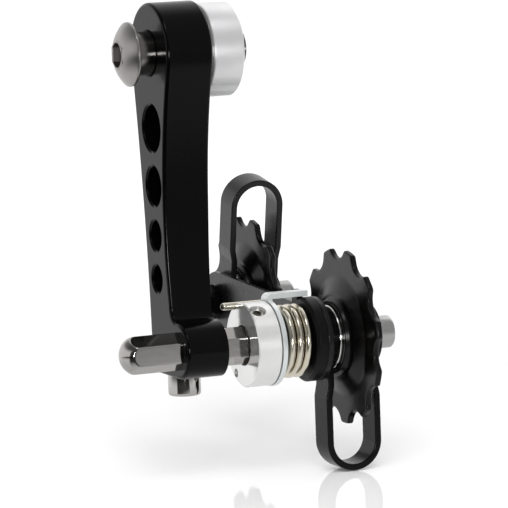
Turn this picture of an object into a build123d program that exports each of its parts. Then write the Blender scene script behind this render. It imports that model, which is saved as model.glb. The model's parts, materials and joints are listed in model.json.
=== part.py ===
from build123d import *
import os
from math import cos, hypot, radians, sin, sqrt

# Bicycle chain tensioner, in millimetres.
# X runs along the hanger bolt and the hex bar towards the bicycle, Y runs to the rear and Z is up.
# The origin is where the hanger bolt's axis meets the face that seats on the frame's hanger.

# Clearances, each on one side
slide_fit = 0.05
running_fit = 0.05
thread_fit = 0.02
face_play = 0.05
swing_gap = 0.4
wheel_float = 0.6

# Hanger bolt and the stack that it clamps
spacer_length = 7.9
spacer_r = 11.3
hanger_washer_t = 0.6
hanger_washer_r = 10.5
bolt_shoulder_r = 5.25
bolt_thread_r = 5.0
bolt_reach = 3.2
bolt_slack = 4.7
bolt_head_r = 7.7
bolt_head_rim = 0.6
bolt_dome_height = 3.2
bolt_crown_flat = 0.35
bolt_socket_af = 6.0
bolt_socket_depth = 2.8
bolt_tip_chamfer = 0.6
spacer_chamfer = 0.35

# Hanger arm
arm_t = 11.8
arm_drop = 70.37
arm_forward = 11.17
arm_boss_r = 12.0
arm_edge = 0.8
front_tangent = 197
back_tangent = -9.3
front_neck_y = -7.7
front_neck_height = 10.3
foot_back_y = 5.13
foot_corner_r = 3.0
neck_fillet = 3.0
bar_boss_r = 6.73
bar_boss_length = 10.6
taper_top = 33.0
lightening_rs = [5.6, 4.75, 3.65, 3.25]
lightening_land = 12.35
foot_height = 13.0
lightening_chamfer = 0.45
clamp_slit = 1.2
clamp_screw_y = 9.3
clamp_screw_length = 16.0

# M5 cap screws: the clamp screw and the two axle screws
m5_r = 2.5
m5_head_r = 3.95
m5_head_height = 5.3
m5_head_edge = 0.7
m5_socket_af = 4.0
m5_socket_depth = 2.5
axle_screw_length = 20.0

# Hex bar and what is fixed on it
bar_af = 8.0
bar_overhang = 14.6
bar_nose_length = 3.2
journal_r = 3.9
journal_thread_depth = 9.0
collar_gap = 6.3
collar_r = 10.15
collar_length = 6.2
collar_edge = 0.3
collar_bore_gap = 0.3
set_screw_r = 2.0
set_screw_angle = 120
set_screw_sink = 0.9
set_screw_socket_af = 2.0
set_screw_socket_depth = 2.0
pin_hole_r = 1.1
pin_hole_y = 4.56
pin_hole_z = -7.28
stop_washer_t = 1.2
stop_washer_r = 10.4
stop_tab_t = 1.4
stop_tab_front = -1.3
stop_tab_back = 1.7
stop_ear_front = -2.6
stop_ear_back = 3.2
stop_tab_overlap = 1.6
stop_tab_bend = 1.2

# Torsion spring
wire_r = 0.9
spring_mean_r = 8.0
spring_turns = 3
coil_gap = 0.2
tail_angle = 62.4
tail_bend = 1.1
tail_reach = 3.4
spring_leg_depth = 1.8
wire_gap = 0.15

# Pivot housing, its bush and the cage plate
housing_r = 10.2
housing_t = 2.8
housing_edge = 0.6
hub_gap = 0.5
bush_t = 1.05
stop_lug_width = 3.0
stop_lug_height = 1.6
plate_t = 1.5
plate_front_half = 7.1
plate_rear_r = 7.75
plate_eye_fillet = 4.0
wheel_distance = 59.53
cage_angle = 2.4

# Chain guide loops
strap_t = 1.6
strap_w = 7.5
loop_inner_width = 11.0
eye_inner_width = 9.8
eye_r = 7.6
eye_gap = 0.9
joggle_start = 11.5
joggle_end = 14.5
joggle_bend = 1.6
loop_reach = 32.6
front_loop_angle = -90.0
rear_loop_angle = 100.7

# Jockey wheels and what they turn on
teeth = 11
chain_pitch = 12.7
seat_r = 4.8
seat_depth = 3.7
tooth_height = 2.5
tip_round = 1.2
tooth_t = 1.5
hub_r = 13.2
hub_foot_r = 15.0
hub_t = 4.8
hub_round = 0.8
shield_r = 9.3
recess_gap = 0.3
recess_t = 5.5
wheel_boss_r = 6.6
sleeve_r = 4.0
front_tip_angle = 108.3
rear_tip_angle = 106.0
front_wheel_shift = -0.5
rear_wheel_shift = 0.1
cap_r = 7.8
cap_t = 0.7
cap_lip = 0.6
cap_lip_t = 0.4
axle_washer_r = 7.0
nut_af = 8.0
nut_height = 4.0

# Stations along X, from the hanger seat outwards and then along the bar
arm_inner = -(spacer_length + hanger_washer_t)
arm_outer = arm_inner - arm_t
bar_boss_end = arm_outer + bar_boss_length
bar_tip = arm_outer - bar_overhang
collar_x = bar_boss_end + collar_gap
stop_x = collar_x + collar_length
spring_x = stop_x + stop_washer_t
coil_pitch = 2 * wire_r + coil_gap
spring_room = spring_turns * coil_pitch + 2 * (wire_r + face_play)
housing_x = spring_x + spring_room
plate_x = housing_x + housing_t
plate_end = plate_x + plate_t
eye_x = plate_end + eye_gap
wheel_x = eye_x + strap_t + eye_inner_width / 2
screw_seat = wheel_x + eye_inner_width / 2 + strap_t

# The three axes that run along X
bolt_axis = (0, 0)
pivot_y = -arm_forward
pivot_z = -arm_drop
pivot_axis = (pivot_y, pivot_z)
rear_axis = (
    pivot_y + wheel_distance * cos(radians(cage_angle)),
    pivot_z + wheel_distance * sin(radians(cage_angle)),
)
foot_z = pivot_z - bar_boss_r
bar_corner_r = bar_af / sqrt(3)
spring_hub_r = spring_mean_r - wire_r - hub_gap

# Radii of the jockey wheels: the seats hang on the chain's pitch circle and the tips on the seats
pitch_r = chain_pitch / (2 * sin(radians(180 / teeth)))
root_r = pitch_r - seat_depth
tip_r = root_r + tooth_height
recess_r = cap_r + recess_gap


def cross_plane(station, axis):
    """The plane across X at a station, with its own X along Y and its own Y along Z."""
    return Plane(origin=(station, *axis), x_dir=(0, 1, 0), z_dir=(1, 0, 0))


def half_section(axis):
    """The plane of a turned profile: its own X along X and its own Y outwards from the axis."""
    return Plane(origin=(0, *axis), x_dir=(1, 0, 0), z_dir=(0, -1, 0))


def turning_axis(axis):
    """The line along X through an axis point."""
    return Axis((0, *axis), (1, 0, 0))


def ring(station, axis, outer, inner, length):
    """A plain ring with its axis along X."""
    with BuildPart() as piece:
        with BuildSketch(cross_plane(station, axis)):
            Circle(outer)
            Circle(inner, mode=Mode.SUBTRACT)
        extrude(amount=length)
    return piece


def cap_screw(seat, length):
    """An M5 cap screw whose head stands on the seat plane and whose shank goes below it."""
    with BuildPart() as piece:
        with BuildSketch(seat):
            Circle(m5_head_r)
        extrude(amount=m5_head_height)
        head_top = piece.faces().sort_by(Axis(seat.origin, seat.z_dir))[-1]
        fillet(head_top.edges(), m5_head_edge)
        with BuildSketch(seat):
            Circle(m5_r)
        extrude(amount=-length)
        with BuildSketch(seat.offset(m5_head_height)):
            RegularPolygon(m5_socket_af / 2, 6, major_radius=False)
        extrude(amount=-m5_socket_depth, mode=Mode.SUBTRACT)
    return piece


# Hanger bolt: domed head with a hex socket, plain shoulder, and a thread that enters the hanger
bolt_under = arm_outer - bolt_slack
bolt_rim = bolt_under - bolt_head_rim
bolt_crown = bolt_rim - bolt_dome_height
dome_r = (bolt_head_r**2 + bolt_dome_height**2) / (2 * bolt_dome_height)
with BuildPart() as hanger_bolt:
    with BuildSketch(half_section(bolt_axis)):
        with BuildLine():
            dome = RadiusArc((bolt_crown, 0), (bolt_rim, bolt_head_r), dome_r)
            Polyline(
                dome @ 1,
                (bolt_under, bolt_head_r),
                (bolt_under, bolt_shoulder_r),
                (-bolt_slack, bolt_shoulder_r),
                (-bolt_slack, bolt_thread_r),
                (bolt_reach - bolt_tip_chamfer, bolt_thread_r),
                (bolt_reach, bolt_thread_r - bolt_tip_chamfer),
                (bolt_reach, 0),
                dome @ 0,
            )
        make_face()
    revolve(axis=turning_axis(bolt_axis))
    with BuildSketch(cross_plane(bolt_crown, bolt_axis)):
        Circle(bolt_head_r)
    extrude(amount=bolt_crown_flat, mode=Mode.SUBTRACT)
    with BuildSketch(cross_plane(bolt_crown, bolt_axis)):
        RegularPolygon(bolt_socket_af / 2, 6, major_radius=False, rotation=90)
    extrude(amount=bolt_crown_flat + bolt_socket_depth, mode=Mode.SUBTRACT)

hanger_washer = ring(arm_inner, bolt_axis, hanger_washer_r, bolt_shoulder_r + slide_fit, hanger_washer_t)
hanger_spacer = ring(-spacer_length, bolt_axis, spacer_r, bolt_shoulder_r + slide_fit, spacer_length)
with BuildPart() as turned_spacer:
    add(hanger_spacer.part)
    chamfer(turned_spacer.edges().filter_by(GeomType.CIRCLE).group_by(SortBy.RADIUS)[-1], spacer_chamfer)

# Hanger arm: a forged blade between the hanger boss and the split boss that grips the bar
front_top = Vector(arm_boss_r, 0).rotate(Axis.Z, front_tangent)
back_top = Vector(arm_boss_r, 0).rotate(Axis.Z, back_tangent)
front_neck = (front_neck_y, pivot_z + front_neck_height)
foot_corner = (foot_back_y, foot_z)
with BuildPart() as arm:
    with BuildSketch(cross_plane(arm_outer, bolt_axis)) as blade:
        with BuildLine():
            TangentArc(front_top, front_neck, tangent=Vector(0, 1).rotate(Axis.Z, front_tangent))
            Polyline(front_neck, (front_neck_y, pivot_z), pivot_axis, (pivot_y, foot_z), foot_corner)
            TangentArc(back_top, foot_corner, tangent=Vector(0, -1).rotate(Axis.Z, back_tangent))
            Line(back_top, front_top)
        make_face()
        Circle(arm_boss_r)
        with Locations(pivot_axis):
            Circle(bar_boss_r)
        fillet(blade.vertices().sort_by_distance((*foot_corner, 0))[0], foot_corner_r)
        fillet(blade.vertices().sort_by_distance((front_neck_y, pivot_z + bar_boss_r, 0))[0], neck_fillet)
    extrude(amount=arm_t)
    fillet(arm.faces().filter_by(Axis.X).edges(), arm_edge)
    with BuildSketch(Plane.XZ):
        with BuildLine():
            Polyline(
                (arm_inner, -taper_top),
                (bar_boss_end, pivot_z + front_neck_height),
                (bar_boss_end, foot_z - bar_boss_r),
                (arm_inner + arm_t, foot_z - bar_boss_r),
                (arm_inner + arm_t, -taper_top),
                close=True,
            )
        make_face()
    extrude(amount=4 * arm_boss_r, both=True, mode=Mode.SUBTRACT)
    with BuildSketch(cross_plane(arm_outer, bolt_axis)):
        Circle(bolt_shoulder_r + slide_fit)
        hole_z = -lightening_land
        web_length = arm_drop - lightening_land - foot_height - 2 * sum(lightening_rs)
        web = web_length / (len(lightening_rs) - 1)
        for hole_r in lightening_rs:
            with Locations((0, hole_z - hole_r)):
                Circle(hole_r)
            hole_z -= 2 * hole_r + web
    extrude(amount=arm_t, mode=Mode.SUBTRACT)
    rims = arm.faces().sort_by(Axis.X)[0].edges().filter_by(GeomType.CIRCLE)
    on_midline = rims.filter_by(lambda e: e.is_closed and abs(e.arc_center.Y) < lightening_chamfer)
    chamfer(on_midline, lightening_chamfer)
    with BuildSketch(cross_plane(arm_outer, pivot_axis)):
        RegularPolygon(bar_af / 2 + slide_fit, 6, major_radius=False, rotation=90)
        with Locations((arm_boss_r, 0)):
            Rectangle(2 * arm_boss_r, clamp_slit)
    extrude(amount=arm_t, mode=Mode.SUBTRACT)
    clamp_x = arm_outer + bar_boss_length / 2
    with BuildSketch(Plane((clamp_x, pivot_y + clamp_screw_y, foot_z))):
        Circle(m5_r + thread_fit)
    extrude(amount=clamp_screw_length + thread_fit, mode=Mode.SUBTRACT)

clamp_seat = Plane(origin=(clamp_x, pivot_y + clamp_screw_y, foot_z), x_dir=(1, 0, 0), z_dir=(0, 0, -1))
clamp_screw = cap_screw(clamp_seat, clamp_screw_length)

# Hex bar: a domed nose, the hex that slides in the arm, and the round journal of the cage
nose_r = (bar_corner_r**2 + bar_nose_length**2) / (2 * bar_nose_length)
with BuildPart() as hex_bar:
    with BuildSketch(cross_plane(bar_tip, pivot_axis)):
        RegularPolygon(bar_af / 2, 6, major_radius=False, rotation=90)
    extrude(amount=spring_x - bar_tip)
    with BuildSketch(half_section(pivot_axis)):
        with BuildLine():
            nose = RadiusArc((bar_tip, 0), (bar_tip + bar_nose_length, bar_corner_r), nose_r)
            Polyline(nose @ 1, (spring_x, bar_corner_r), (spring_x, 0), nose @ 0)
        make_face()
    revolve(axis=turning_axis(pivot_axis), mode=Mode.INTERSECT)
    with BuildSketch(cross_plane(spring_x, pivot_axis)):
        Circle(journal_r)
    extrude(amount=eye_x - spring_x)
    with BuildSketch(cross_plane(eye_x, pivot_axis)):
        Circle(m5_r + thread_fit)
    extrude(amount=-journal_thread_depth, mode=Mode.SUBTRACT)

# Spring collar: a turned ring on the bar, with a groove for the spring's tail and a set screw
set_screw_out = Vector(0, 1, 0).rotate(Axis.X, set_screw_angle)
set_screw_x = collar_x + collar_length / 3
set_screw_foot = Vector(set_screw_x, *pivot_axis) + set_screw_out * (bar_af / 2)
set_screw_plane = Plane(origin=set_screw_foot, x_dir=(1, 0, 0), z_dir=set_screw_out)
set_screw_length = collar_r - set_screw_sink - bar_af / 2
tail_point = Vector(collar_r, 0).rotate(Axis.Z, tail_angle)
with BuildPart() as spring_collar:
    with BuildSketch(cross_plane(collar_x, pivot_axis)):
        Circle(collar_r)
        Circle(bar_corner_r + collar_bore_gap, mode=Mode.SUBTRACT)
    extrude(amount=collar_length)
    chamfer(spring_collar.edges().filter_by(GeomType.CIRCLE).group_by(SortBy.RADIUS)[-1], collar_edge)
    with BuildSketch(cross_plane(collar_x, pivot_axis)):
        with Locations(tail_point):
            Circle(wire_r + wire_gap)
        with Locations((pin_hole_y, pin_hole_z)):
            Circle(pin_hole_r)
    extrude(amount=collar_length, mode=Mode.SUBTRACT)
    with BuildSketch(set_screw_plane):
        Circle(set_screw_r + thread_fit)
    extrude(amount=collar_r, mode=Mode.SUBTRACT)

with BuildPart() as collar_set_screw:
    with BuildSketch(set_screw_plane):
        Circle(set_screw_r)
    extrude(amount=set_screw_length)
    with BuildSketch(set_screw_plane.offset(set_screw_length)):
        RegularPolygon(set_screw_socket_af / 2, 6, major_radius=False)
    extrude(amount=-set_screw_socket_depth, mode=Mode.SUBTRACT)

# Stop washer: a hex-holed washer with an ear bent over into a tab that the housing's lug rests on
tab_low = housing_r + swing_gap
tab_high = tab_low + stop_tab_t
tab_length = spring_x + spring_room + stop_tab_overlap - stop_x
with BuildPart() as stop_washer:
    with BuildSketch(cross_plane(stop_x, pivot_axis)):
        Circle(stop_washer_r)
        with BuildLine():
            Polyline(
                (stop_ear_front, stop_washer_r - stop_tab_t),
                (stop_tab_front, tab_high),
                (stop_tab_back, tab_high),
                (stop_ear_back, stop_washer_r - stop_tab_t),
                close=True,
            )
        make_face()
        RegularPolygon(bar_af / 2 + slide_fit, 6, major_radius=False, rotation=90, mode=Mode.SUBTRACT)
        with Locations(tail_point):
            Circle(wire_r + wire_gap, mode=Mode.SUBTRACT)
    extrude(amount=stop_washer_t)
    with BuildSketch(cross_plane(stop_x, pivot_axis)):
        with Locations(((stop_tab_front + stop_tab_back) / 2, (tab_low + tab_high) / 2)):
            Rectangle(stop_tab_back - stop_tab_front, stop_tab_t)
    extrude(amount=tab_length)
    bend = stop_washer.edges().filter_by(Axis.Y).group_by(Axis.Z)[-1].sort_by(Axis.X)[0]
    fillet(bend, stop_tab_bend)

# Torsion spring: left-hand coils, a tail laid along the collar, a leg into the housing.
# Each half turn is an arc tilted along the bar, and it leaves tangent to the next one.
coil_start = Plane(
    origin=(spring_x + face_play + wire_r, *pivot_axis),
    x_dir=(0, cos(radians(tail_angle)), sin(radians(tail_angle))),
    z_dir=(1, 0, 0),
)
half_pitch = coil_pitch / 2
coil_foot = coil_start.from_local_coords((spring_mean_r, 0, 0))
coil_end = coil_start.from_local_coords((spring_mean_r, 0, spring_turns * coil_pitch))
with BuildPart() as torsion_spring:
    for half in range(2 * spring_turns):
        side = (-1) ** half
        arc_foot = coil_start.from_local_coords((side * spring_mean_r, 0, half * half_pitch))
        arc_centre = coil_start.from_local_coords((0, 0, (half + 0.5) * half_pitch))
        ahead = coil_start.y_dir * -side
        with BuildSketch(Plane(origin=arc_foot, z_dir=ahead)):
            Circle(wire_r)
        revolve(axis=Axis(arc_centre, (arc_foot - arc_centre).cross(ahead)), revolution_arc=180)
    tail_corner = coil_start.from_local_coords((collar_r, 0, 0))
    tail_tip = Vector(collar_x - tail_reach + wire_r, tail_corner.Y, tail_corner.Z)
    with BuildLine() as tail:
        FilletPolyline(coil_foot, tail_corner, tail_tip, radius=tail_bend)
    with BuildSketch(Plane(origin=coil_foot, z_dir=tail.line % 0)):
        Circle(wire_r)
    sweep(path=tail.line)
    with Locations(coil_foot, coil_end, tail_tip):
        Sphere(wire_r)
    with BuildSketch(Plane(origin=coil_end, z_dir=(1, 0, 0))):
        Circle(wire_r)
    extrude(amount=wire_r + face_play + spring_leg_depth)

# Pivot housing: hub inside the spring, a ring that takes the spring's leg, and a spigot in the plate
bush_outer = journal_r + running_fit + bush_t
hub_x = spring_x + hub_gap
leg_point = Vector(spring_mean_r, 0).rotate(Axis.Z, tail_angle)
with BuildPart() as pivot_housing:
    with BuildSketch(half_section(pivot_axis)):
        with BuildLine():
            Polyline(
                (hub_x, bush_outer),
                (hub_x, spring_hub_r),
                (housing_x, spring_hub_r),
                (housing_x, housing_r - housing_edge),
                (housing_x + housing_edge, housing_r),
                (plate_x, housing_r),
                (plate_x, spring_hub_r),
                (plate_end, spring_hub_r),
                (plate_end, bush_outer),
                close=True,
            )
        make_face()
    revolve(axis=turning_axis(pivot_axis))
    with BuildSketch(cross_plane(housing_x, pivot_axis)):
        lug_y = stop_tab_back + running_fit
        with Locations((lug_y, spring_hub_r)):
            Rectangle(
                stop_lug_width,
                housing_r + stop_lug_height - spring_hub_r,
                align=(Align.MIN, Align.MIN),
            )
    extrude(amount=stop_tab_overlap)
    with BuildSketch(cross_plane(housing_x, pivot_axis)):
        with Locations(leg_point):
            Circle(wire_r + wire_gap)
    extrude(amount=spring_leg_depth + wire_gap, mode=Mode.SUBTRACT)

bush_length = plate_end - hub_x
pivot_bush = ring(hub_x, pivot_axis, bush_outer, journal_r + running_fit, bush_length)

# Cage plate: a flat bar from the pivot to the rear axle, with a round eye at each end
cage_plane = Plane(
    origin=(plate_x, *pivot_axis),
    x_dir=(0, cos(radians(cage_angle)), sin(radians(cage_angle))),
    z_dir=(1, 0, 0),
)
with BuildPart() as cage_plate:
    with BuildSketch(cage_plane) as flat:
        with BuildLine():
            CenterArc((0, 0), plate_front_half, 0, 360)
            CenterArc((wheel_distance, 0), plate_rear_r, 0, 360)
        make_hull()
        Circle(housing_r)
        inner_corners = flat.vertices().filter_by(lambda v: abs(hypot(v.X, v.Y) - housing_r) < thread_fit)
        fillet(inner_corners.sort_by(Axis.X)[-2:], plate_eye_fillet)
        Circle(spring_hub_r + thread_fit, mode=Mode.SUBTRACT)
        with Locations((wheel_distance, 0)):
            Circle(m5_r + slide_fit, mode=Mode.SUBTRACT)
    extrude(amount=plate_t)


def chain_loop(axis, angle):
    """A strap bent into a U round the chain: two joggled legs that end in eyes on the axle."""
    centre = (wheel_x, *axis)
    reach = Vector(0, 1, 0).rotate(Axis.X, angle)
    front_view = Plane(origin=centre, x_dir=(1, 0, 0), z_dir=Vector(1, 0, 0).cross(reach))
    side_view = Plane(origin=centre, x_dir=reach, z_dir=(1, 0, 0))
    bow_r = loop_inner_width / 2 + strap_t
    with BuildPart() as piece:
        with BuildSketch(front_view) as strap:
            for wall, mode in ((strap_t, Mode.ADD), (0, Mode.SUBTRACT)):
                eye_half = eye_inner_width / 2 + wall
                leg_half = loop_inner_width / 2 + wall
                with BuildLine():
                    left = Polyline(
                        (-leg_half, loop_reach - bow_r),
                        (-leg_half, joggle_end),
                        (-eye_half, joggle_start),
                        (-eye_half, -eye_r),
                    )
                    Line(left @ 1, (eye_half, -eye_r))
                    right = Polyline(
                        (eye_half, -eye_r),
                        (eye_half, joggle_start),
                        (leg_half, joggle_end),
                        (leg_half, loop_reach - bow_r),
                    )
                    RadiusArc(left @ 0, right @ 1, leg_half)
                make_face(mode=mode)
            bends = strap.vertices().filter_by(lambda v: joggle_start - strap_t < v.Y < joggle_end + strap_t)
            fillet(bends, joggle_bend)
        extrude(amount=eye_r, both=True)
        with BuildSketch(side_view):
            Circle(eye_r)
            with Locations((loop_reach / 2, 0)):
                Rectangle(loop_reach, strap_w)
            Circle(m5_r + slide_fit, mode=Mode.SUBTRACT)
        extrude(amount=loop_inner_width, both=True, mode=Mode.INTERSECT)
    return piece


def jockey_wheel(axis, tip_angle, shift):
    """A toothed wheel: open roller seats, a thin rim, a raised hub and a shield round each cap."""
    middle = wheel_x + shift
    boss_half = eye_inner_width / 2 - cap_t - wheel_float
    recess_depth = recess_r - wheel_boss_r
    with BuildPart() as piece:
        with BuildSketch(cross_plane(middle, axis)) as toothed:
            Circle(tip_r)
            with PolarLocations(root_r + seat_r, teeth, start_angle=tip_angle + 180 / teeth):
                Circle(seat_r, mode=Mode.SUBTRACT)
            fillet(toothed.vertices(), tip_round)
        extrude(amount=tooth_t / 2, both=True)
        with BuildSketch(half_section(axis)) as hub:
            with BuildLine():
                Polyline(
                    (middle - hub_t / 2, 0),
                    (middle - hub_t / 2, hub_r),
                    (middle - tooth_t / 2, hub_foot_r),
                    (middle + tooth_t / 2, hub_foot_r),
                    (middle + hub_t / 2, hub_r),
                    (middle + hub_t / 2, 0),
                    close=True,
                )
            make_face()
            fillet(hub.vertices().group_by(Axis.Y)[1], hub_round)
            with Locations((middle, 0)):
                Rectangle(2 * boss_half, shield_r, align=(Align.CENTER, Align.MIN))
        revolve(axis=turning_axis(axis))
        with BuildSketch(half_section(axis)):
            with Locations((middle, wheel_boss_r)):
                Rectangle(2 * boss_half, recess_depth, align=(Align.CENTER, Align.MIN))
                Rectangle(recess_t, recess_depth, align=(Align.CENTER, Align.MIN), mode=Mode.SUBTRACT)
        revolve(axis=turning_axis(axis), mode=Mode.SUBTRACT)
        with BuildSketch(cross_plane(middle, axis)):
            Circle(sleeve_r + running_fit)
        extrude(amount=eye_inner_width, both=True, mode=Mode.SUBTRACT)
    return piece


def dust_cap(axis, side):
    """A pressed cap beside an eye, with a lip turned in over the wheel's boss."""
    seat = wheel_x + side * eye_inner_width / 2
    cap_face = seat - side * cap_t
    lip_end = cap_face - side * cap_lip
    with BuildPart() as piece:
        with BuildSketch(half_section(axis)):
            with BuildLine():
                Polyline(
                    (seat, sleeve_r + slide_fit),
                    (seat, cap_r),
                    (lip_end, cap_r),
                    (lip_end, cap_r - cap_lip_t),
                    (cap_face, cap_r - cap_lip_t),
                    (cap_face, sleeve_r + slide_fit),
                    close=True,
                )
            make_face()
        revolve(axis=turning_axis(axis))
    return piece


# What hangs on each axle: a loop, a wheel on its sleeve, two dust caps and a screw
wheel_sets = {
    "front": (pivot_axis, front_loop_angle, front_tip_angle, front_wheel_shift),
    "rear": (rear_axis, rear_loop_angle, rear_tip_angle, rear_wheel_shift),
}
pieces = {}
for end, (axis, loop_angle, tip_angle, shift) in wheel_sets.items():
    pieces[f"{end}_loop"] = chain_loop(axis, loop_angle)
    pieces[f"{end}_jockey_wheel"] = jockey_wheel(axis, tip_angle, shift)
    sleeve_x = wheel_x - eye_inner_width / 2
    pieces[f"{end}_wheel_sleeve"] = ring(sleeve_x, axis, sleeve_r, m5_r + slide_fit, eye_inner_width)
    pieces[f"{end}_dust_cap_left"] = dust_cap(axis, -1)
    pieces[f"{end}_dust_cap_right"] = dust_cap(axis, 1)
    pieces[f"{end}_axle_screw"] = cap_screw(cross_plane(screw_seat, axis), axle_screw_length)

# The front washer lets the plate turn against the fixed eye; the rear one fills the same gap
thrust_x = plate_end + face_play
thrust_t = eye_gap - 2 * face_play
pivot_thrust_washer = ring(thrust_x, pivot_axis, axle_washer_r, journal_r + running_fit, thrust_t)
rear_spacer_washer = ring(plate_end, rear_axis, axle_washer_r, m5_r + slide_fit, eye_gap)

with BuildPart() as rear_axle_nut:
    with BuildSketch(cross_plane(plate_x, rear_axis)):
        RegularPolygon(nut_af / 2, 6, major_radius=False, rotation=90)
        Circle(m5_r + thread_fit, mode=Mode.SUBTRACT)
    extrude(amount=-nut_height)

pieces |= {
    "arm": arm,
    "clamp_screw": clamp_screw,
    "hanger_washer": hanger_washer,
    "hanger_spacer": turned_spacer,
    "hanger_bolt": hanger_bolt,
    "hex_bar": hex_bar,
    "spring_collar": spring_collar,
    "collar_set_screw": collar_set_screw,
    "stop_washer": stop_washer,
    "torsion_spring": torsion_spring,
    "pivot_housing": pivot_housing,
    "pivot_bush": pivot_bush,
    "cage_plate": cage_plate,
    "pivot_thrust_washer": pivot_thrust_washer,
    "rear_spacer_washer": rear_spacer_washer,
    "rear_axle_nut": rear_axle_nut,
}

os.makedirs("parts", exist_ok=True)
for name, piece in pieces.items():
    piece.part.label = name
    export_step(piece.part, f"parts/{name}.step")
    print(name, round(piece.part.volume, 1), "mm3")
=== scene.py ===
# %% [markdown]
# # A bicycle chain tensioner, dressed for its picture
#
# The solids arrive from the CAD side at their real size, in metres, with the hanger bolt on the X axis.
# This lesson gives every surface its finish. Where a solid's edges are too sharp to catch the light as
# the real ones do, a smoother surface is worked out with numpy and stands in for it.

# %% Load the frame
import json
import bpy
import bmesh
import numpy as np
from mathutils import Matrix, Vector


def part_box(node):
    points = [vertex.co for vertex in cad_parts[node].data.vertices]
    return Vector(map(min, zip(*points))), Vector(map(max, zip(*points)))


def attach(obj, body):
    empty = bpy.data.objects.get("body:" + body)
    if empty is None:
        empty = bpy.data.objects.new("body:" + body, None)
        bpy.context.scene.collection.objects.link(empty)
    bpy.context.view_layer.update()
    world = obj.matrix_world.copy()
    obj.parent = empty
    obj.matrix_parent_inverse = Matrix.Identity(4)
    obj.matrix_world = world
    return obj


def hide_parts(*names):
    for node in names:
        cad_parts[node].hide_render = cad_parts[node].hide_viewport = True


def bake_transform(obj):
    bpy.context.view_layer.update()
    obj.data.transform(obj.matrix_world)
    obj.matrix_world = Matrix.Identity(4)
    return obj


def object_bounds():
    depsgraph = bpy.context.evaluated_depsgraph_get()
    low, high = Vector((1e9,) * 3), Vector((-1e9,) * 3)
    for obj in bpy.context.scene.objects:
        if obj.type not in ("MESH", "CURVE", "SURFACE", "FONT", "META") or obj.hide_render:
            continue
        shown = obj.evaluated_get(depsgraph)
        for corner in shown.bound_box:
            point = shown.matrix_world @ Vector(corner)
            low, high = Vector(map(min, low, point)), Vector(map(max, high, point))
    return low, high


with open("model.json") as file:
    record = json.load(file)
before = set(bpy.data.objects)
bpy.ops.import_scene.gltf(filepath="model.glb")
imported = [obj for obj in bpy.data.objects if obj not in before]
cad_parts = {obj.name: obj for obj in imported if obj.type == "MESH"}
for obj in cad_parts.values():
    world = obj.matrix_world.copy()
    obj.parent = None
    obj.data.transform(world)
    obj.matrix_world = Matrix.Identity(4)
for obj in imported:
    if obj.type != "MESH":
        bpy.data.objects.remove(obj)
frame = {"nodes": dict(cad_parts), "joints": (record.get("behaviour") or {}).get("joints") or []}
cad_box = [list(corner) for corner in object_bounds()]
nodes = frame["nodes"]
print("CAD box in metres:", cad_box)

# %% [markdown]
# ## Axes
# Everything that turns here turns about a line along X: the hanger bolt, the hex bar and the rear axle.
# Their places come from the joints, so that no number is written twice.

# %% Axes and units
MM = 0.001
joints = {joint["name"]: joint for joint in frame["joints"]}
BOLT_AXIS = np.array([0.0, 0.0, 0.0])
PIVOT_AXIS = np.array(joints["cage_swing"]["pos_m"])
FRONT_WHEEL = np.array(joints["front_wheel_spin"]["pos_m"])
REAR_WHEEL = np.array(joints["rear_wheel_spin"]["pos_m"])
print("bar axis at y, z (mm):", PIVOT_AXIS[1:] / MM)


def span(node):
    """Lowest and highest corner of a CAD node, in millimetres."""
    low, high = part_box(node)
    return np.array(low) / MM, np.array(high) / MM


# %% [markdown]
# ## From a grid of points to a mesh
# Most pieces are turned on a lathe or swept along a wire. Both are a grid: rows follow the profile and
# columns go round. One function joins neighbouring points with four-sided faces, all at once.

# %% Mesh from a grid
def grid_faces(rows, columns, close_rows):
    """Corner numbers of the quads of a grid whose columns wrap round, and whose rows may wrap too."""
    number = np.arange(rows * columns).reshape(rows, columns)
    below = number if close_rows else number[:-1]
    above = np.roll(number, -1, axis=0) if close_rows else number[1:]
    quads = np.stack([below, np.roll(below, -1, axis=1), np.roll(above, -1, axis=1), above], axis=-1)
    return quads.reshape(-1, 4)


def grid_piece(name, points, close_rows=False, sharp_degrees=50):
    """A mesh object from a grid of points in millimetres, shape (rows, columns, 3).

    Open ends are closed by one flat face each. Edges that turn more than sharp_degrees stay crisp.
    """
    rows, columns = points.shape[:2]
    faces = grid_faces(rows, columns, close_rows).tolist()
    if not close_rows:
        faces.append(np.arange(columns)[::-1].tolist())
        faces.append(((rows - 1) * columns + np.arange(columns)).tolist())
    mesh = bpy.data.meshes.new(name)
    mesh.from_pydata((points.reshape(-1, 3) * MM).tolist(), [], faces)
    return finished_piece(name, mesh, sharp_degrees)


def finished_piece(name, mesh, sharp_degrees):
    """Merges doubles, turns the faces outwards, shades the mesh smooth and puts it in the scene."""
    work = bmesh.new()
    work.from_mesh(mesh)
    bmesh.ops.remove_doubles(work, verts=work.verts, dist=MM / 1000)
    bmesh.ops.recalc_face_normals(work, faces=work.faces)
    work.to_mesh(mesh)
    work.free()
    mesh.polygons.foreach_set("use_smooth", np.ones(len(mesh.polygons), bool))
    mesh.set_sharp_from_angle(angle=np.radians(sharp_degrees))
    piece = bpy.data.objects.new(name, mesh)
    bpy.context.scene.collection.objects.link(piece)
    print(name, len(mesh.polygons), "faces")
    return piece


# %% [markdown]
# ## Turned profiles with soft corners
# A lathe part is a line drawn beside an axis and carried round it. Real tools never leave a perfectly
# sharp corner, and it is that small round that glints. So each corner of the line has its own radius.

# %% Rounded profiles and rings
ARC_STEPS = 6


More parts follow.
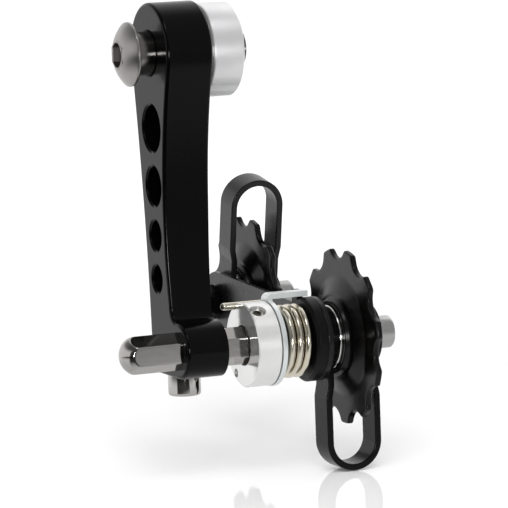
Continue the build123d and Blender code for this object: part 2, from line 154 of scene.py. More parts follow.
def rounded(corners):
    """A profile through (x, r, radius) corners, each corner replaced by a small arc.

    The arc is a quadratic curve that leaves and joins the two runs at the same distance from the corner.
    """
    corners = np.array(corners, float)
    place, radius = corners[:, :2], corners[:, 2]
    before = np.roll(place, 1, axis=0) - place
    after = np.roll(place, -1, axis=0) - place
    reach_before = np.minimum(radius, np.linalg.norm(before, axis=1) / 2)
    reach_after = np.minimum(radius, np.linalg.norm(after, axis=1) / 2)
    first = place + before / np.linalg.norm(before, axis=1)[:, None] * reach_before[:, None]
    last = place + after / np.linalg.norm(after, axis=1)[:, None] * reach_after[:, None]
    t = np.linspace(0, 1, ARC_STEPS)[None, :, None]
    arcs = (1 - t) ** 2 * first[:, None] + 2 * t * (1 - t) * place[:, None] + t**2 * last[:, None]
    return arcs.reshape(-1, 2)


def round_angles(columns):
    """Angles round an axis, from the top towards the rear."""
    return np.arange(columns) * 2 * np.pi / columns


def rings(stations, radii, origin, along=(1, 0, 0), start=(0, 0, 1)):
    """Rings set along an axis: a point is origin + station along the axis + radius at its angle."""
    along, start = np.array(along, float), np.array(start, float)
    side = np.cross(along, start)
    angle = round_angles(radii.shape[1])[None, :, None]
    outward = np.cos(angle) * start + np.sin(angle) * side
    return origin / MM + stations[:, None, None] * along + radii[:, :, None] * outward


def turned(name, corners, origin, along=(1, 0, 0), start=(0, 0, 1), columns=160, closed=True):
    """A lathe piece: a rounded profile of (x, r, radius) corners carried round the axis."""
    profile = rounded(corners)
    radii = np.repeat(profile[:, 1:], columns, axis=1)
    return grid_piece(name, rings(profile[:, 0], radii, origin, along, start), close_rows=closed)


def hexagon(flat, columns, sharpness=60):
    """Radius of a hexagon with softly rounded corners, its first corner at the top.

    Each side pulls the radius down to flat / cos(angle to it), and a high power blends the six sides.
    """
    angle = round_angles(columns)[:, None] - np.radians(30 + 60 * np.arange(6))[None, :]
    pull = np.clip(np.cos(angle), 0, None) / flat
    return (pull**sharpness).sum(axis=1) ** (-1 / sharpness)


def lesser(first, second, sharpness=60):
    """The smaller of two radii, with the edge between them softened by a high power."""
    return (first**-sharpness + second**-sharpness) ** (-1 / sharpness)


# %% [markdown]
# ## Finishes
# A material is a small graph. Noise in object coordinates changes the colour and the roughness a little,
# and a bump gives the grain. Turned metal adds fine rings about its own axis.

# %% Node helpers
def new_material(name):
    """An empty node material with its shader and its output."""
    material = bpy.data.materials.new(name)
    material.use_nodes = True
    tree = material.node_tree
    tree.nodes.clear()
    output = tree.nodes.new("ShaderNodeOutputMaterial")
    shader = tree.nodes.new("ShaderNodeBsdfPrincipled")
    tree.links.new(shader.outputs["BSDF"], output.inputs["Surface"])
    return material, tree, shader


def add_node(tree, kind, sockets=None, **settings):
    """A node with its settings and the values or links of its input sockets."""
    node = tree.nodes.new("ShaderNode" + kind)
    for key, value in settings.items():
        setattr(node, key, value)
    for key, value in (sockets or {}).items():
        if isinstance(value, bpy.types.NodeSocket):
            tree.links.new(value, node.inputs[key])
        else:
            node.inputs[key].default_value = value
    return node


def place_on(tree, centre, scale):
    """Object coordinates moved to a centre and scaled, so that one unit is one grain."""
    coordinates = add_node(tree, "TexCoord")
    moved = add_node(tree, "Mapping", {"Vector": coordinates.outputs["Object"]})
    moved.inputs["Scale"].default_value = scale
    moved.inputs["Location"].default_value = [-c * s for c, s in zip(centre, scale)]
    return moved.outputs["Vector"]


def noise_of(tree, vector, detail=3.0, roughness=0.55):
    """Soft noise, about 0.5 in the middle."""
    noise = add_node(tree, "TexNoise", {"Vector": vector, "Scale": 1.0})
    noise.inputs["Detail"].default_value = detail
    noise.inputs["Roughness"].default_value = roughness
    return noise.outputs["Fac"]


def between(tree, factor, low, high):
    """A value that goes from low to high as the noise goes from dark to light."""
    sockets = {"Value": factor, "From Min": 0.3, "From Max": 0.7, "To Min": low, "To Max": high}
    return add_node(tree, "MapRange", sockets).outputs["Result"]


def ramp(tree, value, start, end, low, high):
    """A value that goes smoothly from low to high as another goes from start to end."""
    sockets = {"Value": value, "From Min": start, "From Max": end, "To Min": low, "To Max": high}
    return add_node(tree, "MapRange", sockets, interpolation_type="SMOOTHSTEP").outputs["Result"]


def times(tree, first, second):
    """The product of two values."""
    return add_node(tree, "Math", {0: first, 1: second}, operation="MULTIPLY").outputs[0]


def tint(tree, factor, first, second):
    """A colour between two, by a factor."""
    mix = add_node(tree, "Mix", {"Factor": factor}, data_type="RGBA")
    mix.inputs[6].default_value = (*first, 1)
    mix.inputs[7].default_value = (*second, 1)
    return mix.outputs[2]


def coated(name, first, second, rough, grain, bump, metallic=0.0, stretch=(1, 1, 1), specular=0.5):
    """A finish with a fine grain: two close colours, a range of roughness and a bump, grain in mm."""
    material, tree, shader = new_material(name)
    scale = [s / (grain * MM) for s in stretch]
    fine = noise_of(tree, place_on(tree, (0, 0, 0), scale))
    broad = noise_of(tree, place_on(tree, (0, 0, 0), [s / 9 for s in scale]), detail=2.0)
    tree.links.new(tint(tree, broad, first, second), shader.inputs["Base Color"])
    tree.links.new(between(tree, broad, *rough), shader.inputs["Roughness"])
    grainy = add_node(tree, "Bump", {"Height": fine, "Strength": bump, "Distance": 0.00002})
    tree.links.new(grainy.outputs["Normal"], shader.inputs["Normal"])
    shader.inputs["Metallic"].default_value = metallic
    shader.inputs["Specular IOR Level"].default_value = specular
    return material


def turned_metal(name, first, second, rough, axis, pitch, bump, anisotropy, metallic=1.0, polish_and_shade=None):
    """Lathe-cut metal: fine rings by distance along and from the axis, and a highlight across them.

    The ring pattern is noise of (x, distance from the axis), so that it is lines on a cylinder and
    circles on an end face. The grooves spread light across themselves, which anisotropy says.
    Between the two places along the axis that the last argument gives, roughness falls to its third value
    and the colour is darkened to its fourth: a painted shade for the dark surroundings the smooth metal
    mirrors.
    """
    material, tree, shader = new_material(name)
    coordinates = add_node(tree, "TexCoord")
    from_axis = add_node(tree, "VectorMath", {0: coordinates.outputs["Object"]}, operation="SUBTRACT")
    from_axis.inputs[1].default_value = axis
    parts = add_node(tree, "SeparateXYZ", {"Vector": from_axis.outputs["Vector"]})
    flat = add_node(tree, "CombineXYZ", {"Y": parts.outputs["Y"], "Z": parts.outputs["Z"]})
    distance = add_node(tree, "VectorMath", {0: flat.outputs["Vector"]}, operation="LENGTH")
    profile = add_node(tree, "CombineXYZ", {"X": parts.outputs["X"], "Y": distance.outputs["Value"]})
    grooves = add_node(tree, "VectorMath", {0: profile.outputs["Vector"]}, operation="SCALE")
    grooves.inputs["Scale"].default_value = 1 / (pitch * MM)
    ring = noise_of(tree, grooves.outputs["Vector"], detail=2.0)
    cloud = noise_of(tree, place_on(tree, (0, 0, 0), [1 / (3 * MM)] * 3), detail=2.0)
    colour = tint(tree, ring, first, second)
    roughness = between(tree, cloud, *rough)
    if polish_and_shade is not None:
        start, end, smoothness, painted_darkening = polish_and_shade
        roughness = times(tree, roughness, ramp(tree, parts.outputs["X"], start, end, 1.0, smoothness))
        # Painted shade: the colour is darkened where the smoother metal would mirror dark surroundings.
        shade = ramp(tree, parts.outputs["X"], start, end, 1.0, painted_darkening)
        dimmed = add_node(tree, "VectorMath", {0: colour, "Scale": shade}, operation="SCALE")
        colour = dimmed.outputs["Vector"]
    tree.links.new(colour, shader.inputs["Base Color"])
    tree.links.new(roughness, shader.inputs["Roughness"])
    cut = add_node(tree, "Bump", {"Height": ring, "Strength": bump, "Distance": 0.00001})
    tree.links.new(cut.outputs["Normal"], shader.inputs["Normal"])
    round_way = add_node(tree, "VectorMath", {1: flat.outputs["Vector"]}, operation="CROSS_PRODUCT")
    round_way.inputs[0].default_value = (1, 0, 0)
    in_world = add_node(tree, "VectorTransform", {"Vector": round_way.outputs["Vector"]})
    in_world.vector_type = "VECTOR"
    in_world.convert_from = "OBJECT"
    in_world.convert_to = "WORLD"
    tree.links.new(in_world.outputs["Vector"], shader.inputs["Tangent"])
    shader.inputs["Metallic"].default_value = metallic
    shader.inputs["Anisotropic"].default_value = anisotropy
    shader.inputs["Anisotropic Rotation"].default_value = 0.25
    return material


# %% [markdown]
# ## Turned and drawn metal
# The bolt, the spacer and the collar come off a lathe, the bar is drawn and the spring is wound from bright
# wire. The bolt's shank and the collar's end face are smoother than the rest of their piece, so their
# roughness drops over a short way along X. Their colour is darkened over the same way: painted shade for
# the dark surroundings that the smoother metal mirrors.

# %% Metal finishes
HEAD_BACK, HEAD_BLEND = -25.2 * MM, 0.1 * MM
COLLAR_FACE = span("spring_collar")[0][0] * MM
FACE_SKIN, FACE_BLEND = 0.02 * MM, 0.04 * MM
# Past the bolt's head the colour is darkened to 0.6, and on the collar's end face to 0.9: painted shade for
# the dark surroundings that their smoother metal mirrors.
nickel = turned_metal("bolt_nickel", (0.35, 0.335, 0.325), (0.42, 0.405, 0.395), (0.3, 0.38),
                      BOLT_AXIS, 0.08, 0.15, 0.3, polish_and_shade=(HEAD_BACK - HEAD_BLEND, HEAD_BACK, 0.5, 0.6))
spacer_cut = turned_metal("spacer_aluminium", (0.87, 0.87, 0.88), (0.94, 0.94, 0.95), (0.42, 0.5),
                          BOLT_AXIS, 0.1, 0.3, 0.65, metallic=0.9)
collar_cut = turned_metal("collar_steel", (0.9, 0.9, 0.89), (0.96, 0.96, 0.95), (0.42, 0.5),
                          PIVOT_AXIS * [0, 1, 1], 0.1, 0.2, 0.65, metallic=0.86,
                          polish_and_shade=(COLLAR_FACE + FACE_SKIN + FACE_BLEND, COLLAR_FACE + FACE_SKIN, 0.25, 0.9))
drawn_bar = coated("bar_steel", (0.42, 0.405, 0.39), (0.5, 0.485, 0.465), (0.08, 0.14), 0.15, 0.1,
                   metallic=1.0, stretch=(0.4, 1, 1))
zinc = coated("zinc_steel", (0.8, 0.84, 0.84), (0.88, 0.91, 0.9), (0.3, 0.42), 0.25, 0.12, metallic=0.85)
spring_wire = coated("spring_steel", (0.78, 0.73, 0.61), (0.86, 0.81, 0.69), (0.16, 0.24), 0.2, 0.08,
                     metallic=1.0)
screw_grey = coated("screw_steel", (0.46, 0.455, 0.45), (0.54, 0.535, 0.53), (0.28, 0.38), 0.08, 0.2,
                    metallic=1.0, stretch=(0.25, 1, 1))
bright_screw = coated("bright_steel", (0.5, 0.49, 0.47), (0.58, 0.57, 0.55), (0.06, 0.12), 0.2, 0.06,
                      metallic=1.0)
polished = coated("cap_polished", (0.75, 0.74, 0.72), (0.82, 0.81, 0.79), (0.1, 0.18), 0.3, 0.05,
                  metallic=1.0)
bronze = coated("bush_bronze", (0.45, 0.3, 0.16), (0.52, 0.36, 0.2), (0.3, 0.4), 0.2, 0.1, metallic=1.0)
print("metal finishes: bolt, spacer, collar, bar, washer, spring, screws, caps, bush")

# %% [markdown]
# ## Black finishes
# The arm is anodised, the loops and the plate are coated steel, the wheels and the housing are moulded or
# dyed black. All are nearly without colour of their own, and what is seen on them is the tent. So they
# differ mostly in how rough they are and in how much they reflect.

# %% Black finishes
anodised = coated("arm_anodised", (0.0004, 0.0004, 0.0005), (0.001, 0.0009, 0.001), (0.13, 0.18),
                  0.12, 0.05, specular=0.14)
black_coat = coated("black_steel", (0.0006, 0.0005, 0.0005), (0.0016, 0.0014, 0.0014), (0.22, 0.3),
                    0.18, 0.05, specular=0.15)
rear_coat = coated("black_steel_rear", (0.001, 0.0009, 0.0009), (0.0024, 0.0022, 0.0022), (0.24, 0.32),
                   0.18, 0.04, specular=0.36)
wheel_coat = coated("wheel_black", (0.0006, 0.0005, 0.0005), (0.0016, 0.0014, 0.0013), (0.2, 0.27),
                    0.16, 0.05, specular=0.27)
housing_coat = coated("housing_black", (0.0008, 0.0007, 0.0008), (0.002, 0.0018, 0.002), (0.36, 0.46),
                      0.3, 0.4, specular=0.2)
print("black finishes: arm, front loop, rear loop and plate, wheels, housing")

# %% [markdown]
# ## Dressing a piece
# A new piece needs a finish and the body it moves with, and the CAD nodes it stands for are hidden.
# One function does all three, so that none is forgotten.

# %% Dress a piece
def dress(piece, body, slot, material, *replaced):
    """Gives a new piece its body and its finish and hides the CAD nodes it stands for; slot is not used."""
    piece.data.materials.clear()
    piece.data.materials.append(material)
    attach(piece, body)
    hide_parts(*replaced)


# %% [markdown]
# ## CAD nodes that keep their shape
# Plain rings and the forged arm are already right, so they only get their finish. A CAD node has
# its own material slots, and putting ours in the first one is enough.

# %% Finish the nodes that stay
kept_finishes = {
    "arm": anodised, "hanger_washer": screw_grey, "collar_set_screw": bright_screw,
    "pivot_thrust_washer": polished, "front_wheel_sleeve": bright_screw, "pivot_bush": bronze,
    "rear_wheel_sleeve": bright_screw, "rear_spacer_washer": zinc,
}
for node, material in kept_finishes.items():
    nodes[node].data.materials.clear()
    nodes[node].data.materials.append(material)
print("finished in place:", sorted(kept_finishes))

# %% [markdown]
# ## Hanger bolt
# A button head bolt: a dome with a hex socket, a plain shoulder and a fine thread. The whole bolt is one
# stack of rings. Inside the socket the rings are hexagons, and on the thread each ring's radius
# rises and falls with its angle, which makes a helix.

# %% Hanger bolt
bolt_low, bolt_high = span("hanger_bolt")
COLUMNS = 192
HEAD_R, RIM, UNDER, SHOULDER_R, SHOULDER_FILLET = bolt_high[1], 0.6, -25.0, 5.25, 0.25
CROWN = bolt_low[0]
DOME_HEIGHT, SOCKET_FLAT, SOCKET_DEPTH, SOCKET_TIP = 3.2, 3.0, 2.8, 0.5
THREAD_R, THREAD_PITCH, THREAD_DEPTH, THREAD_END = 5.0, 1.0, 0.5, -4.7
THREAD_RUNOUT, THREAD_CHAMFER = 0.6, 0.5


def circle_rows(radii):
    """Rings that are plain circles."""
    return np.repeat(np.asarray(radii, float)[:, None], COLUMNS, axis=1)


def thread_rows(stations):
    """Rings of a thread: the radius follows a triangle wave of station / pitch + angle / turn."""
    turn = round_angles(COLUMNS)[None, :] / (2 * np.pi)
    phase = (stations[:, None] / THREAD_PITCH + turn) % 1.0
    runout = np.clip((bolt_high[0] - stations[:, None]) / THREAD_RUNOUT, 0, 1)
    crest = THREAD_R - (1 - runout) * THREAD_CHAMFER
    return crest - THREAD_DEPTH * np.abs(2 * phase - 1) * runout


dome_r = (HEAD_R**2 + DOME_HEIGHT**2) / (2 * DOME_HEIGHT)
dome_x = np.linspace(UNDER - RIM - 0.15, CROWN, 24)
dome_top = UNDER - RIM - DOME_HEIGHT
dome_radii = np.sqrt(dome_r**2 - (dome_r - (dome_x - dome_top)) ** 2)
rim_profile = rounded([(UNDER, SHOULDER_R, 0.0), (UNDER, HEAD_R, 0.18), (UNDER - RIM, HEAD_R, 0.2),
                       (dome_x[0], dome_radii[0], 0.0)])[ARC_STEPS:-ARC_STEPS]
hex_ring = hexagon(SOCKET_FLAT, COLUMNS, 120)
thread_x = np.linspace(bolt_high[0], THREAD_END, 110)
socket_x = CROWN + np.array([0.3, 0.6, SOCKET_DEPTH - 0.3, SOCKET_DEPTH])
stations = np.concatenate([
    thread_x, [THREAD_END - 0.3, UNDER + SHOULDER_FILLET, UNDER + 0.02], rim_profile[:, 0], dome_x[1:],
    [CROWN, CROWN + 0.06], socket_x, [CROWN + SOCKET_DEPTH + SOCKET_TIP],
])
radii = np.concatenate([
    thread_rows(thread_x), circle_rows([SHOULDER_R, SHOULDER_R, SHOULDER_R + SHOULDER_FILLET]),
    circle_rows(rim_profile[:, 1]), circle_rows(dome_radii[1:]),
    hex_ring[None, :] + np.array([[0.16], [0.05]]),
    np.repeat(hex_ring[None, :], len(socket_x), axis=0), 0.2 * hex_ring[None, :],
])
bolt = grid_piece("hanger_bolt_turned", rings(stations, radii, BOLT_AXIS), sharp_degrees=40)
dress(bolt, "bolt", "bolt_nickel", nickel, "hanger_bolt")

# %% [markdown]
# ## Spacer
# A turned aluminium ring with broken edges. A closed profile is carried round the bolt's axis.

# %% Spacer
spacer_low, spacer_high = span("hanger_spacer")
SPACER_R, SPACER_BORE, NEAR_CHAMFER, FAR_CHAMFER = spacer_high[1], 5.3, 0.3, 0.35
spacer = turned("hanger_spacer_turned", [
    (spacer_low[0], SPACER_BORE, 0.2), (spacer_low[0], SPACER_R - NEAR_CHAMFER, 0.12),
    (spacer_low[0] + NEAR_CHAMFER, SPACER_R, 0.2), (spacer_high[0] - FAR_CHAMFER, SPACER_R, 0.2),
    (spacer_high[0], SPACER_R - FAR_CHAMFER, 0.12), (spacer_high[0], SPACER_BORE, 0.2),
], BOLT_AXIS)
dress(spacer, "arm", "spacer_aluminium", spacer_cut, "hanger_spacer")

# %% [markdown]
# ## Hex bar
# A drawn hexagon with a domed nose. The radius at each station is the smaller of the hexagon's and the
# dome's, and a high power rounds the line where they meet, as grinding does.

# %% Hex bar
bar_low, bar_high = span("hex_bar")
BAR_FLAT, NOSE_LENGTH, JOURNAL_X, JOURNAL_R = 4.0, 3.2, 4.0, 3.9
BAR_CORNER = BAR_FLAT / np.cos(np.radians(30))
nose_r = (BAR_CORNER**2 + NOSE_LENGTH**2) / (2 * NOSE_LENGTH)
nose_x = NOSE_LENGTH * 1.25 * (1 - np.cos(np.linspace(0.06, np.pi / 2, 40)))
dome = np.sqrt(np.clip(nose_r**2 - (nose_r - nose_x) ** 2, 0.01, None))
dome = np.where(nose_x > nose_r, nose_r, dome)
hex_row = hexagon(BAR_FLAT, COLUMNS, 90)
nose_rows = lesser(dome[:, None], hex_row[None, :], 50)
bar_x = np.concatenate([bar_low[0] + nose_x, [-20.0, -5.0, JOURNAL_X - 0.1, JOURNAL_X, bar_high[0]]])
straight_rows = np.repeat(hex_row[None, :], 3, axis=0)
bar_rows = np.concatenate([nose_rows, straight_rows, circle_rows([JOURNAL_R] * 2)])
bar = grid_piece("hex_bar_drawn", rings(bar_x, bar_rows, PIVOT_AXIS), sharp_degrees=40)
dress(bar, "bar", "bar_steel", drawn_bar, "hex_bar")

# %% [markdown]
# ## Torsion spring
# Wire wound left-handed round the hub, with a tail along the collar and a leg into the housing.
# The centre line is a formula in cylinder coordinates: angle, radius and station for each sample.
# A circle carried along it makes the wire. The outward direction is always across the wire,
# so it serves as the circle's first axis and no twist can creep in.

# %% Torsion spring
spring_low, spring_high = span("torsion_spring")
WIRE_R, COIL_R, TAIL_R, COIL_PITCH, COIL_TURNS = 0.9, 8.0, 10.15, 2.0, 3
COIL_X, TAIL_ANGLE, BEND_R, END_RINGS = 4.95, np.radians(62.4), 1.3, 5
EASE_SHARE, CLIMB_START = 0.09, 0.03
LEG_END = spring_high[0]
TAIL_END = spring_low[0] + WIRE_R


def wire_line():
    """Angle, radius and station of the wire's centre line, from the tail's tip to the leg's end.

    Tail: straight along X. Bend: a quarter circle from along X to round the axis. Coil: the angle falls
    as the station grows, and the radius eases from the tail's to the coil's. Leg: the bend reversed.
    """
    quarter = np.linspace(0, np.pi / 2, 14)
    tail_x = np.linspace(TAIL_END, COIL_X - BEND_R, 12)[:-1]
    turn_in = BEND_R * (1 - np.cos(quarter)) / TAIL_R
    turns = np.linspace(0, 1, 240)[1:-1]
    first = TAIL_ANGLE - BEND_R / TAIL_R
    last = TAIL_ANGLE - 2 * np.pi * COIL_TURNS + BEND_R / COIL_R
    ease = np.clip(turns / EASE_SHARE, 0, 1)
    ease = ease**2 * (3 - 2 * ease)
    climb = np.clip((turns - CLIMB_START) / (1 - CLIMB_START), 0, 1)
    leg_x = np.linspace(COIL_X + COIL_TURNS * COIL_PITCH + BEND_R, LEG_END, 6)[1:]
    angle = np.concatenate([
        np.full(len(tail_x), TAIL_ANGLE), TAIL_ANGLE - turn_in, first + (last - first) * turns,
        last - BEND_R * np.sin(quarter) / COIL_R, np.full(len(leg_x), last - BEND_R / COIL_R),
    ])
    radius = np.concatenate([
        np.full(len(tail_x) + len(quarter), TAIL_R), TAIL_R + (COIL_R - TAIL_R) * ease,
        np.full(len(quarter) + len(leg_x), COIL_R),
    ])
    station = np.concatenate([
        tail_x, COIL_X - BEND_R + BEND_R * np.sin(quarter), COIL_X + COIL_TURNS * COIL_PITCH * climb,
        COIL_X + COIL_TURNS * COIL_PITCH + BEND_R * (1 - np.cos(quarter)), leg_x,
    ])
    return angle, radius, station


def held_ends(rows):
    """The rows with the first and the last one repeated, once for each ring of a domed end."""
    first = np.repeat(rows[:1], END_RINGS, axis=0)
    last = np.repeat(rows[-1:], END_RINGS, axis=0)
    return np.concatenate([first, rows[1:-1], last])


def wire_tube(angle, radius, station, columns=20):
    """A circle of the wire's radius carried along the centre line, with closed round ends."""
    outward = np.stack([np.zeros_like(angle), np.cos(angle), np.sin(angle)], axis=1)
    line = PIVOT_AXIS * [0, 1, 1] / MM + radius[:, None] * outward + station[:, None] * [1, 0, 0]
    ahead = np.gradient(line, axis=0)
    ahead /= np.linalg.norm(ahead, axis=1)[:, None]
    first = outward - (outward * ahead).sum(axis=1)[:, None] * ahead
    first /= np.linalg.norm(first, axis=1)[:, None]
    second = np.cross(ahead, first)
    dome = np.linspace(0.15, 1, END_RINGS) * np.pi / 2
    share = np.concatenate([np.sin(dome), np.ones(len(line) - 2), np.sin(dome)[::-1]])
    ends = np.cos(dome) * WIRE_R
    path = np.concatenate([
        line[0] - ends[:, None] * ahead[0], line[1:-1], line[-1] + ends[::-1, None] * ahead[-1]])
    turn = round_angles(columns)[None, :, None]
    across = np.cos(turn) * held_ends(first)[:, None] + np.sin(turn) * held_ends(second)[:, None]
    return path[:, None] + WIRE_R * share[:, None, None] * across


spring = grid_piece("torsion_spring_wound", wire_tube(*wire_line()))
spring.data.materials.append(spring_wire)
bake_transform(spring)
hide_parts("torsion_spring")

# %% [markdown]
# ## Jockey wheels
# A toothed wheel is again a stack of rings, but its outer rings follow the teeth. Along a ray, the edge is
# the near side of a roller's seat, or the tip circle where that is smaller. The rings shrink from the
# teeth to the round rim, then climb a gentle cone to the hub and to the shield round each dust cap. On a
# black wheel that cone is what shows: it holds a pale crescent below and stays dark beside the housing.

# %% Jockey wheels
TEETH, ROOT_R, SEAT_R, TIP_R = 11, 18.84, 4.8, 21.34
TOOTH_HALF, HUB_FOOT, HUB_R, HUB_HALF = 0.75, 14.6, 10.6, 2.4
SHIELD_R, RECESS_R, RECESS_HALF, BOSS_R, BOSS_HALF, WHEEL_BORE = 9.3, 8.1, 2.75, 6.6, 3.6, 4.05
BROW, BROW_X, RIM_START, RIM_STEPS = 0.55, 0.4, 0.6, 5
WHEEL_COLUMNS = TEETH * 48


def tooth_edge(tip_degrees):
    """Radius of the toothed edge by angle: the near side of a roller's seat, capped by the tip circle.

    One tooth's tip points tip_degrees up from the rear.
    """
    pitch = 2 * np.pi / TEETH
    seat_centre = ROOT_R + SEAT_R
    angle = round_angles(WHEEL_COLUMNS) - np.radians(90 - tip_degrees) + pitch / 2
    off_seat = (angle + pitch / 2) % pitch - pitch / 2
    inside = np.clip(SEAT_R**2 - (seat_centre * np.sin(off_seat)) ** 2, 1e-6, None)
    seat = np.where(inside > 1e-6, seat_centre * np.cos(off_seat) - np.sqrt(inside), seat_centre)
    return lesser(seat, np.full_like(seat, TIP_R), 70)


def wheel_points(tip_degrees, centre):
    """Rings from the bore over shield, hub and rim to the teeth, and back down the other side."""
    edge = tooth_edge(tip_degrees)[None, :]
    inner = rounded([
        (-BOSS_HALF, WHEEL_BORE, 0.15), (-BOSS_HALF, BOSS_R, 0.25), (-RECESS_HALF, BOSS_R, 0.2),
        (-RECESS_HALF, RECESS_R, 0.2), (-BOSS_HALF, RECESS_R, 0.15), (-BOSS_HALF, SHIELD_R - 0.3, 0.25),
        (-HUB_HALF - 0.3, SHIELD_R, 0.2), (-HUB_HALF, SHIELD_R + 0.2, 0.2), (-HUB_HALF, HUB_R, 0.5),
        (-TOOTH_HALF, HUB_FOOT, 0.7), (-TOOTH_HALF, HUB_FOOT + 2, 0.0)])[:-ARC_STEPS]
    rim = HUB_FOOT + RIM_START
    share = np.linspace(0, 1, RIM_STEPS + 1)[1:, None]
    out = rim + (edge - BROW - rim) * share
    corner = np.linspace(0, np.pi / 2, RIM_STEPS + 1)[1:]
    brow = edge - BROW + BROW * np.sin(corner)[:, None]
    half_x = np.concatenate([
        inner[:, 0], np.full(RIM_STEPS, -TOOTH_HALF), -TOOTH_HALF + BROW_X * (1 - np.cos(corner))])
    half_r = np.concatenate([np.repeat(inner[:, 1:], WHEEL_COLUMNS, axis=1), out, brow])
    stations = np.concatenate([half_x, -half_x[::-1]])
    return rings(stations, np.concatenate([half_r, half_r[::-1]]), centre)


for end, axis, tip in (("front", FRONT_WHEEL, 108.3), ("rear", REAR_WHEEL, 106.0)):
    low, high = span(f"{end}_jockey_wheel")
    centre = np.array([(low[0] + high[0]) / 2 * MM, axis[1], axis[2]])
    points = wheel_points(tip, centre)
    wheel = grid_piece(f"{end}_jockey_wheel_moulded", points, close_rows=True, sharp_degrees=60)
    dress(wheel, f"{end}_wheel", "wheel_black", wheel_coat, f"{end}_jockey_wheel")

# %% [markdown]
# ## Cap screws
# Two axle screws and the clamp screw share one shape: a round head with a soft edge, a hex socket and a
# threaded shank. Only the place, the direction and the length change.

# %% Cap screws
M5_R, M5_HEAD_R, M5_HEAD, M5_SOCKET, M5_SOCKET_DEPTH = 2.5, 3.95, 5.3, 2.0, 2.5
M5_PITCH, M5_THREAD_DEPTH, M5_TIP = 0.8, 0.35, 0.5


def cap_screw(name, seat, along, start, length):
    """Rings from the shank's tip to the socket's floor; the seat is where head and shank meet."""
    head = rounded([
        (-length, M5_R, 0), (0.0, M5_R, 0.0), (0.0, M5_HEAD_R, 0.25), (M5_HEAD, M5_HEAD_R, 0.75),
        (M5_HEAD, M5_SOCKET + 0.6, 0.1), (M5_HEAD - 0.25, M5_SOCKET + 0.3, 0.0),
    ])[ARC_STEPS:-ARC_STEPS]
    socket = hexagon(M5_SOCKET, COLUMNS, 120)
    shank_x = np.linspace(-length, -0.4, 90)
    turn = round_angles(COLUMNS)[None, :] / (2 * np.pi)
    phase = (shank_x[:, None] / M5_PITCH + turn) % 1.0
    shank = M5_R - M5_THREAD_DEPTH * np.abs(2 * phase - 1)
    shank[0] = M5_R - M5_TIP
    socket_x = M5_HEAD - np.array([0.35, 0.6, M5_SOCKET_DEPTH, M5_SOCKET_DEPTH + 0.4])
    socket_rows = np.concatenate([np.repeat(socket[None], 3, axis=0), 0.2 * socket[None]])
    stations = np.concatenate([shank_x, head[:, 0], socket_x])
    radii = np.concatenate([shank, circle_rows(head[:, 1]), socket_rows])
    return grid_piece(name, rings(stations, radii, seat, along, start), sharp_degrees=40)


clamp_low, clamp_high = span("clamp_screw")
clamp_middle = (clamp_low + clamp_high) / 2
clamp_seat = np.array([clamp_middle[0], clamp_middle[1], clamp_low[2] + M5_HEAD]) * MM
clamp_length = clamp_high[2] - clamp_low[2] - M5_HEAD
clamp = cap_screw("clamp_screw_turned", clamp_seat, (0, 0, -1), (1, 0, 0), clamp_length)
dress(clamp, "arm", "screw_steel", bright_screw, "clamp_screw")
for end, body, centre in (("front", "bar", FRONT_WHEEL), ("rear", "cage", REAR_WHEEL)):
    low, high = span(f"{end}_axle_screw")
    seat = np.array([(high[0] - M5_HEAD) * MM, centre[1], centre[2]])
    screw = cap_screw(f"{end}_axle_screw_turned", seat, (1, 0, 0), (0, 0, 1), high[0] - low[0] - M5_HEAD)
    dress(screw, body, "screw_steel", screw_grey, f"{end}_axle_screw")

# %% [markdown]
# ## Dust caps
# The caps are pressed from thin sheet, so their lip is round and polished. They are short lathe profiles.

# %% Dust caps
CAP_R, CAP_T, LIP, LIP_T, CAP_BORE = 7.8, 0.7, 0.6, 0.4, 4.05
for end, body, centre in (("front", "bar", FRONT_WHEEL), ("rear", "cage", REAR_WHEEL)):
    for side, sign in (("left", 1), ("right", -1)):
        low, high = span(f"{end}_dust_cap_{side}")
        seat = low[0] if sign > 0 else high[0]
        cap = turned(f"{end}_dust_cap_{side}_pressed", [
            (0, CAP_BORE, 0.1), (0, CAP_R, 0.35), (CAP_T + LIP, CAP_R, 0.15),
            (CAP_T + LIP, CAP_R - LIP_T, 0.15), (CAP_T, CAP_R - LIP_T, 0.2), (CAP_T, CAP_BORE, 0.1),
        ], np.array([seat * MM, centre[1], centre[2]]), along=(sign, 0, 0))
        dress(cap, body, "cap_polished", polished, f"{end}_dust_cap_{side}")

# %% [markdown]
# ## Axle nut
# A hexagon whose corners are turned off at both ends. Each ring's radius is the smaller of the hexagon's
# and a circle's, and the circle is smallest at the two faces.

# %% Axle nut
nut_low = span("rear_axle_nut")[0]
NUT_FLAT, NUT_BORE, NUT_MOUTH, NUT_HEIGHT = 4.0, 2.52, 0.35, 4.0
nut_x = np.array([0, 0.3, 0.7, 3.3, 3.7, 4.0])
nut_hex = hexagon(NUT_FLAT, COLUMNS, 80)
nut_limit = np.array([4.0, 4.3, 4.7, 4.7, 4.3, 4.0])
nut_out = lesser(nut_hex[None, :], nut_limit[:, None], 60)
nut_mouth = circle_rows([NUT_BORE, NUT_BORE + NUT_MOUTH])
nut_rows = np.concatenate([nut_mouth, nut_out, nut_mouth[::-1]])
nut_ends = [NUT_HEIGHT, NUT_HEIGHT - NUT_MOUTH]
nut_stations = np.concatenate([[NUT_MOUTH, 0.0], nut_x, nut_ends]) + nut_low[0]
nut_points = rings(nut_stations, nut_rows, REAR_WHEEL * [0, 1, 1])
nut = grid_piece("rear_axle_nut_pressed", nut_points, close_rows=True, sharp_degrees=35)
dress(nut, "cage", "black_steel", black_coat, "rear_axle_nut")

# %% [markdown]
# ## Pressed and bent pieces
# Loops, plate, housing, stop washer and spring collar have the right shape in CAD, but their edges are
# knife sharp. Building them again would only repeat that shape, so a merged copy gets a narrow Bevel.
# The collar stands a little off the washer beside it, and its end face is drawn back to show that dark gap.

# %% Softened copies
CREASE = np.radians(35)


